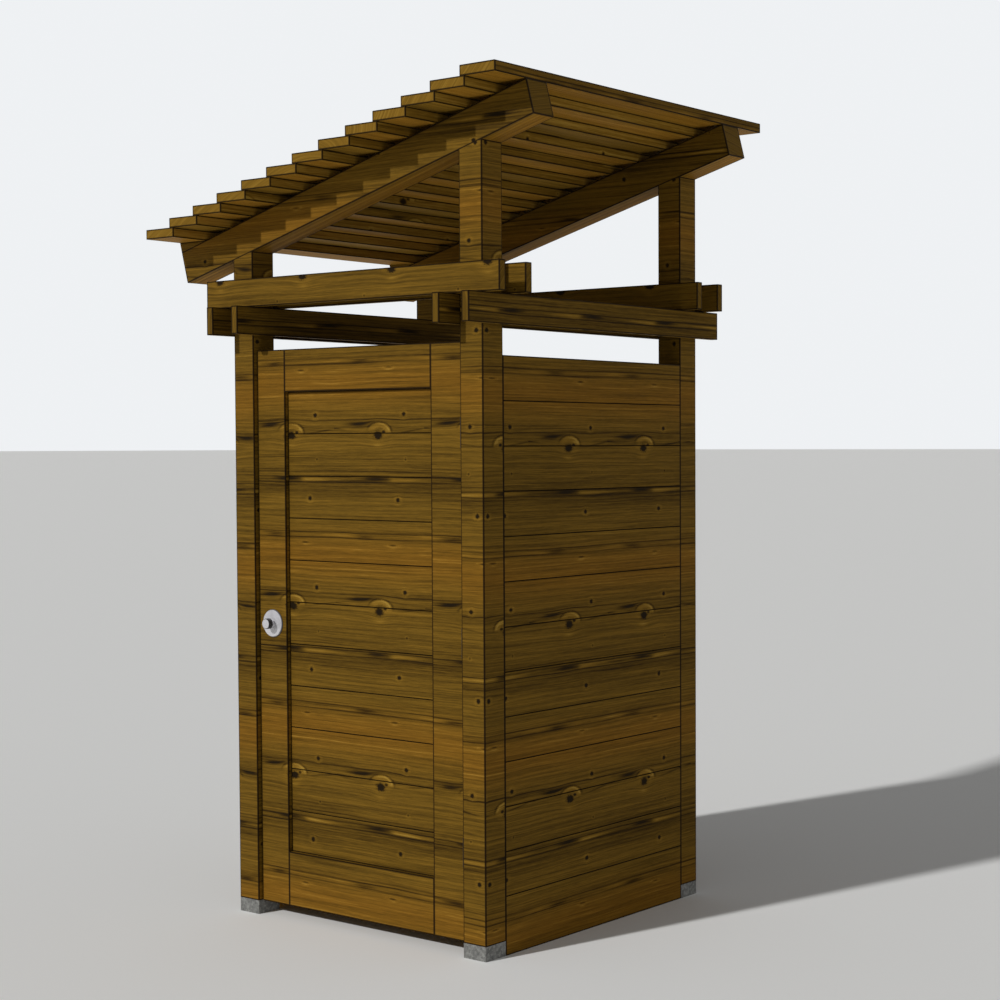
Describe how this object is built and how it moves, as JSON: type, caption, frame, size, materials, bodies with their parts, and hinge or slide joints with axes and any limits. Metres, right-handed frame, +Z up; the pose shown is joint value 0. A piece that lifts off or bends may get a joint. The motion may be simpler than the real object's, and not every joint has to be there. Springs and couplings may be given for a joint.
{
  "type": "timber shower cabin",
  "caption": "Outdoor timber shower cabin on steel shoes, boarded on the sides and back, with a framed door, paired clamping beams and a lean-to roof of lapped boards.",
  "frame": {"origin": "on the ground under the middle of the whole cabin's plan", "axes": "+X along the door front towards the high side of the roof, +Y from the door to the back wall, +Z up"},
  "size_m": [1.7196, 1.5, 2.9028],
  "materials": {
    "stained_timber": "dark brown stained softwood posts, beams, rafters and door frame, satin, horizontal grain",
    "stained_boards": "dark brown stained softwood boards with knots, satin",
    "roof_boards": "dark brown stained softwood roof boards, satin",
    "shoe_steel": "dull grey galvanised and weathered steel",
    "hinge_steel": "dark bronze painted steel",
    "knob_metal": "pale grey lacquered metal, satin"
  },
  "bodies": {
    "cabin": {"front_left_post": "stained_timber", "front_right_post": "stained_timber", "back_left_post": "stained_timber", "back_right_post": "stained_timber", "front_left_shoe": "shoe_steel", "front_right_shoe": "shoe_steel", "back_left_shoe": "shoe_steel", "back_right_shoe": "shoe_steel", "right_wall": "stained_boards", "left_wall": "stained_boards", "back_wall": "stained_boards", "lower_beam_left_outer": "stained_timber", "lower_beam_left_inner": "stained_timber", "lower_beam_right_outer": "stained_timber", "lower_beam_right_inner": "stained_timber", "upper_beam_front_outer": "stained_timber", "upper_beam_front_inner": "stained_timber", "upper_beam_back_outer": "stained_timber", "upper_beam_back_inner": "stained_timber", "front_rafter": "stained_timber", "back_rafter": "stained_timber", "starter_wedges": "stained_timber", "roof_board_01": "roof_boards", "roof_board_02": "roof_boards", "roof_board_03": "roof_boards", "roof_board_04": "roof_boards", "roof_board_05": "roof_boards", "roof_board_06": "roof_boards", "roof_board_07": "roof_boards", "roof_board_08": "roof_boards", "roof_board_09": "roof_boards", "roof_board_10": "roof_boards", "roof_board_11": "roof_boards", "roof_board_12": "roof_boards", "roof_board_13": "roof_boards", "door_stop": "stained_timber", "post_hinge_leaves": "hinge_steel"},
    "door": {"door_left_stile": "stained_timber", "door_right_stile": "stained_timber", "door_top_rail": "stained_timber", "door_bottom_rail": "stained_timber", "door_panel": "stained_boards", "door_roses": "knob_metal", "door_knobs": "knob_metal", "door_hinge_leaves": "hinge_steel"}
  },
  "joints": [
    {"name": "door_hinge", "type": "hinge", "parent": "cabin", "child": "door", "pos_m": [0.53374, -0.5895, 1.0475], "axis": [0, 0, 1], "range_deg": [0, 110]}
  ]
}
